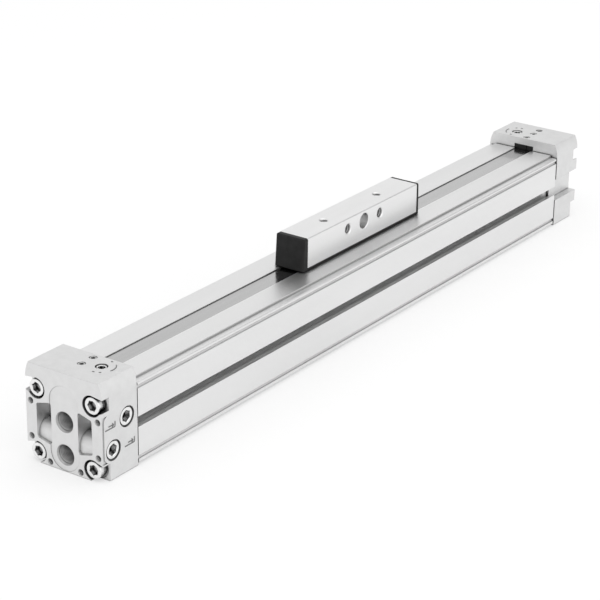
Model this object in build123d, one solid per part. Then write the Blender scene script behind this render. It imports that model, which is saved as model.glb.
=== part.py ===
from build123d import *
import math
import os

# Rodless pneumatic cylinder: a slotted barrel with a piston inside it, and a carriage
# on top that the piston drives through the slot. Two steel bands close the slot.
# X runs along the barrel, -Y is the side with the plugs and Z is up.
# The origin is at the middle of the underside. All sizes are in millimetres.

# Whole cylinder
length_over_caps = 430.0
carriage_rest = 11.0

# Barrel section
barrel_width = 44.6
barrel_bottom = 1.0
barrel_top = 42.5
barrel_corner = 0.8
shoulder_inset = 3.75
shoulder_drop = 1.2
bore_radius = 12.5
bore_height = 21.7
slot_width = 5.6
band_groove_width = 10.8
band_groove_depth = 0.85
sealing_seat_width = 8.0
tslot_height = 21.75
tslot_opening = 5.2
tslot_neck = 1.8
tslot_inner = 8.9
tslot_depth = 5.5
side_groove_low = 4.0
side_groove_drop = 3.4
side_groove_depth = 0.9
air_channel_radius = 2.0
air_channel_offset = 9.0
air_channel_height = 5.2

# Bands
cover_band_width = 10.2
cover_band_thickness = 0.3
sealing_band_width = 7.4
sealing_band_thickness = 0.25
band_bend = 12.0
seat_gap = 0.03
band_run_gap = 2.0

# End caps, measured from the outer face
cap_length = 24.0
cap_overhang = 0.2
cap_rise = 6.5
cap_lean = 2.0
cap_lean_height = 8.0
cap_corner = 0.8
cap_edge = 0.25
gasket_thickness = 0.8
gasket_inset = 0.7

# Recessed windows and centre panel of the cap's face
window_inner = 7.8
window_low = (10.8, 12.8)
window_high = (32.1, 29.8)
window_depth = 9.0
window_corner = 1.3
panel_width = 17.0
panel_low = 0.4
panel_high = 42.3
panel_depth = 0.3

# Ports: a threaded mouth, then a plain passage
port_heights = (8.3, 24.6)
port_radius = 4.4
port_mouth = 5.2
port_chamfer = 0.8
port_thread = 9.5
passage_radius = 2.5

# Plugged cross ports in the near cap's visible side: distance from the outer face, height
cross_ports = ((7.1, 14.8), (16.8, 27.7))
cross_boss_wall = 1.1
cross_sink_radius = 5.1
cross_sink_depth = 1.5
plug_length = 8.0
plug_sunk = 0.3
plug_edge = 0.3
plug_socket = 5.0
plug_socket_depth = 3.0
plug_gap = 0.03

# Corner screws
screw_radius = 2.5
screw_gap = 0.25
thread_gap = 0.02
hole_past_screw = 2.0
screw_inset = 6.1
screw_low = 5.5
screw_high = 37.1
screw_grip = 14.0
head_radius = 4.3
head_height = 5.0
head_socket = 4.0
head_socket_depth = 2.5
sink_radius = 5.2
sink_depth = 5.3
notch_depth = 4.8
notch_below = 1.5
notch_above = 4.3
corner_cut_inward = 1.4
corner_cut_above = 3.3

# Small tapped holes in the cap's face
face_hole_radius = 1.25
face_hole_depth = 2.8
face_hole_chamfer = 0.4
face_hole_inset = 2.7
face_hole_heights = (12.5, 30.1)
foot_hole_spacing = 18.0
foot_hole_height = 2.4

# Relief along the front edge of the near cap's visible side
relief_depth = 0.5
relief_width = 1.0
relief_low = 9.8
relief_high = 33.0
relief_corner = 3.0

# Channel in the far cap's visible side, in line with the T-slot
nut_channel_below = 6.2
nut_channel_above = 3.6
nut_channel_flare = 3.3
nut_channel_depth = 4.5

# Third hole in the far cap's top, in line with the clamp screws
spare_hole_place = 6.3
spare_hole_depth = 3.0

# Band clamps and their screws
clamp_length = 14.0
clamp_width = 12.4
clamp_height = 3.05
clamp_gap = 0.1
clamp_slit = 0.5
clamp_slit_offset = 1.5
band_end_gap = 2.0
clamp_screw_places = (13.0, 21.0)
clamp_screw_radius = 1.95
top_hole_edge = 0.2
clamp_screw_length = 2.6
clamp_screw_socket = 2.0
clamp_screw_socket_depth = 1.3

# Cushion adjusting screws
adjuster_place = 15.7
adjuster_offset = 9.4
adjuster_radius = 2.6
adjuster_gap = 0.08
adjuster_length = 8.5
adjuster_sunk = 1.3
adjuster_socket = 3.0
adjuster_socket_depth = 2.0
adjuster_needle = 3.0
adjuster_needle_radius = 0.9
adjuster_tip_radius = 0.3
adjuster_seat_gap = 1.0
adjuster_mouth = 3.05

# Cushion bosses: a collar centres the barrel on the cap, and the tube slides into the
# piston head at the end of the stroke
boss_radius = 5.5
boss_seat = 6.0
boss_reach = 19.0
boss_gap = 0.06
collar_length = 3.0
collar_gap = 0.2
flat_gap = 0.3
close_fit = 0.02

# Carriage
block_length = 101.0
block_width = 17.5
block_clearance = 1.7
block_height = 15.8
block_edge = 0.4
tunnel_width = 10.8
tunnel_height = 4.8
neck_length = 56.0
neck_side_gap = 0.3
neck_clearance = 0.7
neck_floor_thickness = 2.2
neck_floor_width = 11.2
foot_rise = 7.9
foot_gap = 0.4
near_plate_top = 2.8
near_plate_foot = 4.0
far_plate_top = 1.7
far_plate_foot = 2.1
end_plate_corner = 0.9
end_plate_edge = 0.5
end_plate_clearance = 0.3
strip_inset = 0.15
strip_width = 2.7
strip_gap = 0.1
wiper_thickness = 2.0
wiper_gap = 0.25
lift_clearance = 0.3
ramp_end_gap = 2.5
guide_gap = 0.5

# Carriage mounting holes
top_hole_spacing = 48.6
top_hole_radius = 2.1
top_hole_depth = 9.0
side_hole_spacing = 29.4
side_hole_radius = 2.5
side_hole_drop = 5.7
cross_bore_radius = 4.05
hole_chamfer = 0.5
bore_chamfer = 0.3

# Piston
piston_length = 144.0
head_length = 24.0
piston_gap = 0.7
core_gap = 0.6
core_channel_width = 8.0
core_channel_rise = 6.5
band_dip_gap = 0.5
stub_radius = 6.0
stub_length = 6.0
seal_gap = 0.08
seal_width = 3.0
seal_inset = 3.0
seal_groove_radius = 9.5
ring_width = 6.0
ring_inset = 14.0
ring_groove_radius = 10.3
magnet_radius = 11.4
magnet_width = 4.0
magnet_gap = 0.1
cushion_depth = 18.0
cushion_clearance = 0.4
cushion_seal_width = 2.0
cushion_seal_inset = 1.0
cushion_seal_radius = 7.4
foot_screw_places = 20.0
foot_screw_offset = 5.5
foot_screw_radius = 1.0
foot_screw_gap = 0.2
foot_screw_head = 1.9
foot_screw_head_height = 0.9
foot_screw_length = 7.0

# How far a cut runs past the surface it opens
cut_over = 1.0

# Sizes that follow from the ones above
half_length = length_over_caps / 2
shoulder_width = barrel_width - 2 * shoulder_inset
screw_spacing = barrel_width - 2 * screw_inset
face_hole_spacing = barrel_width - 2 * face_hole_inset
window_outer = screw_spacing / 2
cap_width = barrel_width + 2 * cap_overhang
cap_top_width = cap_width - 2 * cap_lean
cap_height = barrel_top + cap_rise
cap_flank_height = cap_height - cap_lean_height
side_groove_heights = (side_groove_low, barrel_top - side_groove_drop)
inner_face = half_length - cap_length
barrel_length = 2 * (inner_face - gasket_thickness)
groove_floor = barrel_top - band_groove_depth
sealing_seat = bore_height + math.sqrt(bore_radius ** 2 - (slot_width / 2) ** 2)
sealing_band_bottom = sealing_seat - seat_gap - sealing_band_thickness
inner_flat = sealing_band_bottom - flat_gap / 2
clamp_bottom = groove_floor + cover_band_thickness
clamp_top = clamp_bottom + clamp_height
block_bottom = barrel_top + block_clearance
block_top = block_bottom + block_height
tunnel_top = block_bottom + tunnel_height
side_hole_height = block_top - side_hole_drop
neck_floor = barrel_top + neck_clearance
neck_floor_top = neck_floor + neck_floor_thickness
foot_bottom = bore_height + foot_rise
strip_outer = block_width / 2 - strip_inset
strip_inner = strip_outer - strip_width
ramp_start = neck_length / 2 + band_run_gap
ramp_length = block_length / 2 - wiper_thickness - ramp_end_gap - ramp_start
core_channel_floor = bore_height + core_channel_rise
piston_half = piston_length / 2
core_half_length = piston_half - head_length - magnet_width
screw_points = [(side * screw_spacing / 2, height)
                for side in (-1, 1) for height in (screw_low, screw_high)]


def across(x):
    """The plane across the barrel at x, with Y to the right and Z up."""
    return Plane(origin=(x, 0, 0), x_dir=(0, 1, 0), z_dir=(1, 0, 0))


def level(z):
    """The level plane at height z."""
    return Plane(origin=(0, 0, z))


def span(left, right, low, high):
    """A rectangle given by its edges."""
    return Pos((left + right) / 2, (low + high) / 2) * Rectangle(right - left, high - low)


def disc(y, z, radius):
    return Pos(y, z) * Circle(radius)


def along(sketch, start, end):
    """A section carried along X from start to end."""
    return extrude(across(start) * sketch, amount=end - start)


def below(height, reach):
    """A large rectangle that reaches up to the given height."""
    return span(-reach, reach, height - 2 * reach, height)


def hexagon(width):
    """A hexagon with the given width across its flats."""
    return RegularPolygon(width / 2, 6, major_radius=False)


def drill_down(x, y, radius, top, bottom):
    return extrude(level(bottom) * Pos(x, y) * Circle(radius), amount=top - bottom)


def drill_side(x, z, radius, start, end):
    """A round hole along Y from start to end."""
    plane = Plane(origin=(x, start, z), x_dir=(1, 0, 0), z_dir=(0, 1, 0))
    return extrude(plane * Circle(radius), amount=end - start)


def union(shapes):
    total = shapes[0]
    for shape in shapes[1:]:
        total = total + shape
    return total


def barrel_outline():
    """The outside of the extrusion, with its stepped shoulders."""
    half, shoulder = barrel_width / 2, shoulder_width / 2
    step = barrel_top - shoulder_drop
    right = [(half, barrel_bottom), (half, step), (shoulder, step), (shoulder, barrel_top)]
    left = [(-y, z) for y, z in reversed(right)]
    outline = make_face(Polyline(*right, *left, right[0]))
    corners = [v for v in outline.vertices() if abs(v.X) > half - 0.01]
    return fillet(corners, barrel_corner)


def bore_section():
    """The bore, the seat of the sealing band, the slot and the groove of the cover band."""
    seat = span(-sealing_seat_width / 2, sealing_seat_width / 2, bore_height, sealing_seat)
    slot = span(-slot_width / 2, slot_width / 2, bore_height, barrel_top)
    groove = span(-band_groove_width / 2, band_groove_width / 2, groove_floor, cap_height)
    return disc(0, bore_height, bore_radius) + seat + slot + groove


def tslot_section(side):
    face = barrel_width / 2
    low, high = tslot_height - tslot_opening / 2, tslot_height + tslot_opening / 2
    neck = span(face - tslot_neck, face + cut_over, low, high)
    inner = span(face - tslot_depth, face - tslot_neck,
                 tslot_height - tslot_inner / 2, tslot_height + tslot_inner / 2)
    section = neck + inner
    return section if side > 0 else mirror(section, Plane.YZ)


def barrel_section():
    section = barrel_outline() - bore_section()
    for side in (-1, 1):
        section -= tslot_section(side)
        for height in side_groove_heights:
            section -= disc(side * barrel_width / 2, height, side_groove_depth)
        section -= disc(side * air_channel_offset, air_channel_height, air_channel_radius)
    return section


def barrel():
    body = along(barrel_section(), -barrel_length / 2, barrel_length / 2)
    for y, z in screw_points:
        hole = disc(y, z, screw_radius + thread_gap)
        for end in (-1, 1):
            start = end * barrel_length / 2
            stop = start - end * (screw_grip + hole_past_screw)
            body -= along(hole, min(start, stop), max(start, stop))
    return body


def gasket():
    """The flat seal between cap and barrel, from the cap's inner face."""
    section = offset(barrel_outline(), -gasket_inset) - bore_section()
    for side in (-1, 1):
        section -= offset(tslot_section(side), gasket_inset, kind=Kind.INTERSECTION)
        section -= disc(side * air_channel_offset, air_channel_height, air_channel_radius)
    for y, z in screw_points:
        section -= disc(y, z, screw_radius + screw_gap)
    return along(section, cap_length, cap_length + gasket_thickness)


def cap_outline():
    """The cap's outline: upright flanks that lean in towards a narrower top."""
    half, top = cap_width / 2, cap_top_width / 2
    flank = Line((half, 0), (half, cap_flank_height))
    lean = TangentArc((half, cap_flank_height), (top, cap_height), tangent=(0, 1))
    crown = Polyline((top, cap_height), (0, cap_height), (0, 0), (half, 0))
    edges = [flank, lean, crown]
    right = make_face(Curve() + edges)
    outline = right + mirror(right, Plane.YZ)
    corners = [v for v in outline.vertices() if v.Y < 0.01 and abs(v.X) > half - 0.01]
    return fillet(corners, cap_corner)


def window_section():
    """One recessed window: its top and bottom slope towards the outside."""
    points = [(window_inner, window_low[0]), (window_outer, window_low[1]),
              (window_outer, window_high[1]), (window_inner, window_high[0])]
    face = make_face(Polyline(*points, points[0]))
    return fillet(face.vertices(), window_corner)


def window_cut():
    """Both windows, less the bosses that cross them inside: round above, upright below."""
    section = window_section()
    cut = along(section + mirror(section, Plane.YZ), 0, window_depth)
    half = cap_width / 2
    radius = port_radius + cross_boss_wall
    for place, height in cross_ports:
        cut -= drill_side(place, height, radius, -half, half)
        cut -= along(span(-half, half, 0, height), place - radius, place + radius)
    return cut


def panel_section():
    """The upright centre panel with round ends."""
    radius = panel_width / 2
    low, high = panel_low + radius, panel_high - radius
    return disc(0, low, radius) + disc(0, high, radius) + span(-radius, radius, low, high)


def port_cut(height):
    """A threaded port with a chamfered mouth, and its passage to the inside."""
    thread = along(disc(0, height, port_radius), 0, port_thread)
    cone = Cone(port_mouth, port_radius, port_chamfer, align=(Align.CENTER, Align.CENTER, Align.MIN))
    mouth = Plane(origin=(panel_depth, 0, height), z_dir=(1, 0, 0)) * cone
    return thread + mouth


def screw_sink_cut():
    """Counterbores of the four corner screws, which break out of the cap's sides."""
    half = cap_width / 2
    reach = half + cap_corner
    cuts = []
    for side in (-1, 1):
        y = side * screw_spacing / 2
        upper = [(y, screw_high - sink_radius), (side * reach, screw_high - notch_below),
                 (side * reach, screw_high + notch_above), (y, screw_high + sink_radius)]
        lower = [(y - side * corner_cut_inward, -cap_corner), (side * reach, -cap_corner),
                 (side * reach, screw_low + corner_cut_above), (y, screw_low + sink_radius)]
        for corners in (upper, lower):
            cuts.append(along(make_face(Polyline(*corners, corners[0])), 0, notch_depth))
    for y, z in screw_points:
        cuts.append(along(disc(y, z, sink_radius), 0, sink_depth))
        cuts.append(along(disc(y, z, screw_radius + screw_gap), 0, cap_length))
    return union(cuts)


def face_hole_cut(sides):
    """The small tapped holes: beside the windows on the given sides, and at the foot."""
    points = [(side * face_hole_spacing / 2, height) for side, height in sides]
    points += [(side * foot_hole_spacing / 2, foot_hole_height) for side in (-1, 1)]
    cuts = []
    for y, z in points:
        cone = Cone(face_hole_radius + face_hole_chamfer, face_hole_radius, face_hole_chamfer,
                    align=(Align.CENTER, Align.CENTER, Align.MIN))
        cuts.append(along(disc(y, z, face_hole_radius), 0, face_hole_depth))
        cuts.append(Plane(origin=(0, y, z), z_dir=(1, 0, 0)) * cone)
    return union(cuts)


def band_end_cut():
    """The pocket of the band clamp and the slit that takes the sealing band's end."""
    start = cap_length - clamp_length
    pocket = along(span(-clamp_width / 2, clamp_width / 2, groove_floor, clamp_top), start, cap_length)
    half = sealing_seat_width / 2
    slit = along(span(-half, half, inner_flat, sealing_seat), cap_length - boss_seat, cap_length)
    return pocket + slit


def top_cut():
    """Holes in the cap's top: two for the clamp screws and one for the adjusting screw."""
    cuts = []
    for place in clamp_screw_places:
        cuts.append(drill_down(place, 0, clamp_screw_radius, cap_height, clamp_top))
        cone = Cone(clamp_screw_radius, clamp_screw_radius + top_hole_edge, top_hole_edge,
                    align=(Align.CENTER, Align.CENTER, Align.MAX))
        cuts.append(Pos(place, 0, cap_height) * cone)
    bottom = cap_height - adjuster_sunk - adjuster_length
    cuts.append(drill_down(adjuster_place, -adjuster_offset, adjuster_radius + adjuster_gap,
                           cap_height, bottom))
    cuts.append(drill_down(adjuster_place, -adjuster_offset, adjuster_mouth,
                           cap_height, cap_height - adjuster_sunk))
    needle = adjuster_needle_radius + 2 * adjuster_gap
    cuts.append(drill_down(adjuster_place, -adjuster_offset, needle, bottom,
                           bottom - adjuster_needle - adjuster_seat_gap))
    return union(cuts)


def plain_cap(hole_sides):
    """What both caps share, with the outer face at x = 0 and the inner face at cap_length."""
    block = along(cap_outline(), 0, cap_length)
    outer = block.faces().sort_by(Axis.X)[0]
    block = chamfer(outer.outer_wire().edges(), cap_edge)
    block -= window_cut()
    block -= along(panel_section(), 0, panel_depth)
    block -= union([port_cut(height) for height in port_heights])
    block -= along(disc(0, port_heights[1], passage_radius), 0, cap_length - boss_seat)
    block -= along(disc(0, bore_height, boss_radius + close_fit), cap_length - boss_seat, cap_length)
    block -= screw_sink_cut()
    block -= face_hole_cut(hole_sides)
    block -= band_end_cut()
    block -= top_cut()
    return block


def near_cap_solid():
    """The near cap: cross ports and a shallow relief on the visible side."""
    sides = [(side, height) for side in (-1, 1) for height in face_hole_heights]
    block = plain_cap(sides)
    face = -cap_width / 2
    for place, height in cross_ports:
        block -= drill_side(place, height, port_radius, face, face + port_thread)
        block -= drill_side(place, height, passage_radius, face, 0)
        block -= drill_side(place, height, cross_sink_radius, face, face + cross_sink_depth)
    middle = (relief_low + relief_high) / 2
    tall = relief_high - relief_low
    edge = Pos(notch_depth / 2, middle) * Rectangle(notch_depth, tall)
    pad = Pos(relief_width + cap_length / 2, middle) * RectangleRounded(cap_length, tall, relief_corner)
    plane = Plane(origin=(0, face, 0), x_dir=(1, 0, 0), z_dir=(0, -1, 0))
    block -= extrude(plane * (edge - pad), amount=-relief_depth)
    return block


def far_cap_solid():
    """The far cap: a spare hole on top, and a channel that lets nuts into the T-slot."""
    sides = [(-1, height) for height in face_hole_heights] + [(1, face_hole_heights[0])]
    block = plain_cap(sides)
    block -= drill_down(spare_hole_place, 0, clamp_screw_radius, cap_height,
                        cap_height - spare_hole_depth)
    half = cap_width / 2
    floor = half - nut_channel_depth
    low, high = tslot_height - nut_channel_below, tslot_height + nut_channel_above
    rise = nut_channel_flare * (nut_channel_depth + cut_over) / nut_channel_depth
    points = [(half + cut_over, low), (floor, low), (floor, high), (half + cut_over, high + rise)]
    return block - along(make_face(Polyline(*points, points[0])), 0, cap_length)


def socket_screw(y, z):
    """A socket head screw along X, with its head in the counterbore at the outer face."""
    seat = sink_depth
    top = seat - head_height
    head = along(disc(y, z, head_radius), top, seat)
    head -= along(Pos(y, z) * hexagon(head_socket), top, top + head_socket_depth)
    shank = along(disc(y, z, screw_radius), seat, cap_length + gasket_thickness + screw_grip)
    return head + shank


def cap_screws():
    return Compound(children=[socket_screw(y, z) for y, z in screw_points])


def side_plugs():
    """The hexagon socket plugs of the cross ports."""
    plugs = []
    for place, height in cross_ports:
        start = -cap_width / 2 + plug_sunk
        plug = drill_side(place, height, port_radius - plug_gap, start, start + plug_length)
        plug = chamfer(plug.edges().sort_by(Axis.Y)[0], plug_edge)
        plane = Plane(origin=(place, start, height), x_dir=(1, 0, 0), z_dir=(0, 1, 0))
        plugs.append(plug - extrude(plane * hexagon(plug_socket), amount=plug_socket_depth))
    return Compound(children=plugs)


def band_clamp():
    """The insert that holds down the cover band's end, from the cap's inner face."""
    start = cap_length - clamp_length + clamp_gap
    half = clamp_width / 2 - clamp_gap
    body = along(span(-half, half, clamp_bottom, clamp_top - clamp_gap), start, cap_length)
    slit = along(span(clamp_slit_offset, clamp_slit_offset + clamp_slit, groove_floor, clamp_top),
                 cap_length - clamp_slit, cap_length)
    return body - slit


def clamp_screws():
    screws = []
    for place in clamp_screw_places:
        bottom = clamp_top - clamp_gap
        screw = drill_down(place, 0, clamp_screw_radius - thread_gap, bottom + clamp_screw_length, bottom)
        top = bottom + clamp_screw_length
        socket = level(top) * Pos(place, 0) * hexagon(clamp_screw_socket)
        screws.append(screw - extrude(socket, amount=-clamp_screw_socket_depth))
    return Compound(children=screws)


def cushion_screw():
    """The adjusting screw of the end cushioning: a socket head and a needle."""
    top = cap_height - adjuster_sunk
    bottom = top - adjuster_length
    body = drill_down(adjuster_place, -adjuster_offset, adjuster_radius, top, bottom)
    socket = level(top) * Pos(adjuster_place, -adjuster_offset) * hexagon(adjuster_socket)
    body -= extrude(socket, amount=-adjuster_socket_depth)
    needle = Cone(adjuster_tip_radius, adjuster_needle_radius, adjuster_needle,
                  align=(Align.CENTER, Align.CENTER, Align.MAX))
    return body + Pos(adjuster_place, -adjuster_offset, bottom) * needle


def cushion_boss():
    """The hollow boss of the end cushioning, with its centring collar."""
    hollow = disc(0, bore_height, passage_radius)
    tube = disc(0, bore_height, boss_radius) - hollow
    collar = disc(0, bore_height, bore_radius - collar_gap) & below(inner_flat, cap_height)
    boss = along(tube, cap_length - boss_seat, cap_length + boss_reach)
    return boss + along(collar - hollow, cap_length, cap_length + collar_length)


def band_solid(path, thickness, width):
    """A strip of even height along a path of (x, z) points, with rounded bends."""
    lower = FilletPolyline(*path, radius=band_bend)
    upper = Pos(0, thickness) * lower
    (x0, z0), (x1, z1) = path[0], path[-1]
    ends = [Line((x0, z0), (x0, z0 + thickness)), Line((x1, z1), (x1, z1 + thickness))]
    face = make_face(Curve() + [lower, upper] + ends)
    plane = Plane(origin=(0, width / 2, 0), x_dir=(1, 0, 0), z_dir=(0, -1, 0))
    return extrude(plane * face, amount=width)


def cover_band():
    """The outer band: it lies in the groove and rises over the carriage's neck."""
    end = inner_face + clamp_length - band_end_gap
    top = neck_floor_top + lift_clearance
    near, far = carriage_rest - ramp_start, carriage_rest + ramp_start
    path = [(-end, groove_floor), (near - ramp_length, groove_floor), (near, top),
            (far, top), (far + ramp_length, groove_floor), (end, groove_floor)]
    return band_solid(path, cover_band_thickness, cover_band_width)


def sealing_band():
    """The inner band: it closes the slot and dips under the carriage's foot."""
    end = inner_face + boss_seat - band_end_gap
    dip = core_channel_floor + band_dip_gap
    run = core_half_length - ramp_start - band_run_gap
    near, far = carriage_rest - ramp_start, carriage_rest + ramp_start
    path = [(-end, sealing_band_bottom), (near - run, sealing_band_bottom), (near, dip),
            (far, dip), (far + run, sealing_band_bottom), (end, sealing_band_bottom)]
    return band_solid(path, sealing_band_thickness, sealing_band_width)


def block_hole_cut():
    """The carriage's mounting holes: two in its top and three through its sides."""
    half = block_width / 2
    cuts = []
    down = (Align.CENTER, Align.CENTER, Align.MAX)
    for side in (-1, 1):
        x = side * top_hole_spacing / 2
        cuts.append(drill_down(x, 0, top_hole_radius, block_top, block_top - top_hole_depth))
        cone = Cone(top_hole_radius, top_hole_radius + hole_chamfer, hole_chamfer, align=down)
        cuts.append(Pos(x, 0, block_top) * cone)
    holes = [(-side_hole_spacing / 2, side_hole_radius, hole_chamfer),
             (0, cross_bore_radius, bore_chamfer),
             (side_hole_spacing / 2, side_hole_radius, hole_chamfer)]
    for x, radius, edge in holes:
        cuts.append(drill_side(x, side_hole_height, radius, -half, half))
        for side in (-1, 1):
            cone = Cone(radius, radius + edge, edge, align=down)
            cuts.append(Plane(origin=(x, side * half, side_hole_height), z_dir=(0, side, 0)) * cone)
    return union(cuts)


def carriage_block():
    """The driver: the block above the barrel, its neck in the slot and its foot in the bore."""
    half, length = block_width / 2, block_length / 2
    block = along(span(-half, half, block_bottom, block_top), -length, length)
    outer = [e for e in block.edges() if not e.center().Z < block_bottom + 0.01]
    block = chamfer(outer, block_edge)
    tunnel = span(-tunnel_width / 2, tunnel_width / 2, block_bottom, tunnel_top)
    block -= along(tunnel, -length, length)
    neck = neck_length / 2
    floor = span(-neck_floor_width / 2, neck_floor_width / 2, neck_floor, neck_floor_top)
    web_half = slot_width / 2 - neck_side_gap
    web = span(-web_half, web_half, foot_bottom, neck_floor)
    foot = disc(0, bore_height, bore_radius - foot_gap) - below(foot_bottom, cap_height)
    foot &= below(sealing_band_bottom, cap_height)
    block += along(floor + web + foot, -neck, neck)
    block -= block_hole_cut()
    for x, y in foot_screw_points():
        top = sealing_band_bottom
        block -= drill_down(x, y, foot_screw_radius + foot_screw_gap, top, foot_bottom)
        block -= drill_down(x, y, foot_screw_head + foot_screw_gap, top, foot_head_seat())
    return block


def foot_screw_points():
    return [(a * foot_screw_places, b * foot_screw_offset) for a in (-1, 1) for b in (-1, 1)]


def foot_head_seat():
    """The height at which the foot screws' heads bear, sunk to the foot's round rim."""
    reach = foot_screw_offset + foot_screw_head
    rim = bore_height + math.sqrt((bore_radius - foot_gap) ** 2 - reach ** 2)
    return rim - foot_screw_head_height


def foot_screws():
    """The screws that hold the carriage's foot to the piston core."""
    seat = foot_head_seat()
    screws = []
    for x, y in foot_screw_points():
        head = drill_down(x, y, foot_screw_head, seat + foot_screw_head_height, seat)
        shank = drill_down(x, y, foot_screw_radius, seat, foot_bottom - foot_screw_length)
        screws.append(head + shank)
    return Compound(children=screws)


def end_plate(top, foot):
    """A plastic plate on the far end of the block, given its thickness at the top and the foot."""
    half, start = block_width / 2, block_length / 2
    low = barrel_top + end_plate_clearance
    points = [(start, low), (start + foot, low), (start + top, block_top), (start, block_top)]
    plane = Plane(origin=(0, half, 0), x_dir=(1, 0, 0), z_dir=(0, -1, 0))
    plate = extrude(plane * make_face(Polyline(*points, points[0])), amount=block_width)
    plate = fillet(plate.edges().filter_by(Axis.X).group_by(Axis.Z)[-1], end_plate_corner)
    outer = plate.faces().sort_by(Axis.X)[-1]
    return chamfer(outer.outer_wire().edges(), end_plate_edge)


def wiper():
    """The wiper inside the far end plate: it reaches down to the barrel and the band."""
    end = block_length / 2
    inside = tunnel_width / 2 - strip_gap
    groove = cover_band_width / 2
    shape = span(-inside, inside, block_bottom, tunnel_top - strip_gap)
    shape += span(-strip_outer, strip_outer, barrel_top + strip_gap, block_bottom)
    shape += span(-groove, groove, clamp_bottom + wiper_gap, barrel_top + strip_gap)
    return along(shape, end - wiper_thickness, end)


def slide_strips():
    """The two strips under the block that run on the barrel's top."""
    reach = block_length / 2 - wiper_thickness - strip_gap
    strips = []
    for side in (-1, 1):
        edges = sorted((side * strip_inner, side * strip_outer))
        strips.append(along(span(*edges, barrel_top + strip_gap, block_bottom), -reach, reach))
    return Compound(children=strips)


def band_guide():
    """The wedge in the far end of the tunnel that presses the cover band down again."""
    end = block_length / 2 - wiper_thickness - strip_gap
    raised = neck_floor_top + lift_clearance + cover_band_thickness + guide_gap
    lying = clamp_bottom + guide_gap
    top = tunnel_top - strip_gap
    points = [(ramp_start, raised), (ramp_start + ramp_length, lying), (end, lying), (end, top),
              (ramp_start, top)]
    width = cover_band_width
    plane = Plane(origin=(0, width / 2, 0), x_dir=(1, 0, 0), z_dir=(0, -1, 0))
    return extrude(plane * make_face(Polyline(*points, points[0])), amount=width)


def piston_core():
    """The bar that joins the piston heads; the sealing band runs in its channel."""
    rim = disc(0, bore_height, bore_radius - core_gap) & below(inner_flat, cap_height)
    half = core_channel_width / 2
    channel = span(-half, half, core_channel_floor, cap_height)
    core = along(rim - channel, -core_half_length, core_half_length)
    seat = neck_length / 2 + strip_gap
    core -= along(span(-cap_height, cap_height, foot_bottom, cap_height), -seat, seat)
    for end in (-1, 1):
        start, stop = sorted((end * core_half_length, end * (core_half_length - stub_length)))
        core -= along(disc(0, bore_height, stub_radius + close_fit), start, stop)
    for x, y in foot_screw_points():
        core -= drill_down(x, y, foot_screw_radius + thread_gap, foot_bottom,
                           foot_bottom - foot_screw_length)
    return core


def ring(inner_radius, outer_radius, start, width):
    """A ring round the bore's axis, with a flat where the sealing band passes."""
    section = disc(0, bore_height, outer_radius) & below(inner_flat, cap_height)
    return along(section - disc(0, bore_height, inner_radius), start, start + width)


def seal_start():
    return piston_half - seal_inset - seal_width


def ring_start():
    return piston_half - ring_inset - ring_width


def piston_head():
    """The far piston head: seal and guide grooves outside, cushion bore inside."""
    start = piston_half - head_length
    rim = disc(0, bore_height, bore_radius - piston_gap) & below(inner_flat, cap_height)
    head = along(rim, start, piston_half)
    head += along(disc(0, bore_height, stub_radius), core_half_length - stub_length, start)
    head -= along(disc(0, bore_height, boss_radius + cushion_clearance),
                  piston_half - cushion_depth, piston_half)
    reach = 2 * bore_radius
    head -= ring(seal_groove_radius, reach, seal_start(), seal_width)
    head -= ring(ring_groove_radius, reach, ring_start(), ring_width)
    cushion = piston_half - cushion_seal_inset - cushion_seal_width
    head -= along(disc(0, bore_height, cushion_seal_radius), cushion, cushion + cushion_seal_width)
    return head


def piston_seal():
    return ring(seal_groove_radius, bore_radius - seal_gap, seal_start(), seal_width)


def guide_ring():
    return ring(ring_groove_radius, bore_radius - seal_gap, ring_start(), ring_width)


def cushion_seal():
    start = piston_half - cushion_seal_inset - cushion_seal_width
    return ring(boss_radius + boss_gap, cushion_seal_radius, start, cushion_seal_width)


def magnet():
    """The ring magnet between the piston core and a head."""
    return ring(stub_radius + magnet_gap, magnet_radius, core_half_length, magnet_width)


def at_near_end(shape):
    """Places a cap part, modelled from x = 0, at the near end."""
    return Pos(-half_length, 0, 0) * shape


def at_far_end(shape):
    """Places a cap part at the far end, turned half round the vertical axis."""
    return Pos(half_length, 0, 0) * Rot(0, 0, 180) * shape


def on_carriage(shape):
    return Pos(carriage_rest, 0, 0) * shape


def on_near_side(shape):
    """The same piece at the near end of the carriage or piston."""
    return on_carriage(mirror(shape, Plane.YZ))


def parts():
    """Every node and its shape."""
    nodes = {
        "barrel": barrel(),
        "cover_band": cover_band(),
        "sealing_band": sealing_band(),
        "near_end_cap": at_near_end(near_cap_solid()),
        "far_end_cap": at_far_end(far_cap_solid()),
        "near_side_plugs": at_near_end(side_plugs()),
        "carriage_block": on_carriage(carriage_block()),
        "carriage_slide_strips": on_carriage(slide_strips()),
        "carriage_foot_screws": on_carriage(foot_screws()),
        "near_end_plate": on_near_side(end_plate(near_plate_top, near_plate_foot)),
        "far_end_plate": on_carriage(end_plate(far_plate_top, far_plate_foot)),
        "piston_core": on_carriage(piston_core()),
    }
    cap_pieces = {"gasket": gasket, "cap_screws": cap_screws, "band_clamp": band_clamp,
                  "clamp_screws": clamp_screws, "cushion_screw": cushion_screw,
                  "cushion_boss": cushion_boss}
    for name, make in cap_pieces.items():
        nodes["near_" + name] = at_near_end(make())
        nodes["far_" + name] = at_far_end(make())
    carriage_pieces = {"wiper": wiper, "band_guide": band_guide, "piston_head": piston_head,
                       "piston_seal": piston_seal, "guide_ring": guide_ring,
                       "cushion_seal": cushion_seal, "magnet": magnet}
    for name, make in carriage_pieces.items():
        nodes["far_" + name] = on_carriage(make())
        nodes["near_" + name] = on_near_side(make())
    return nodes


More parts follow.
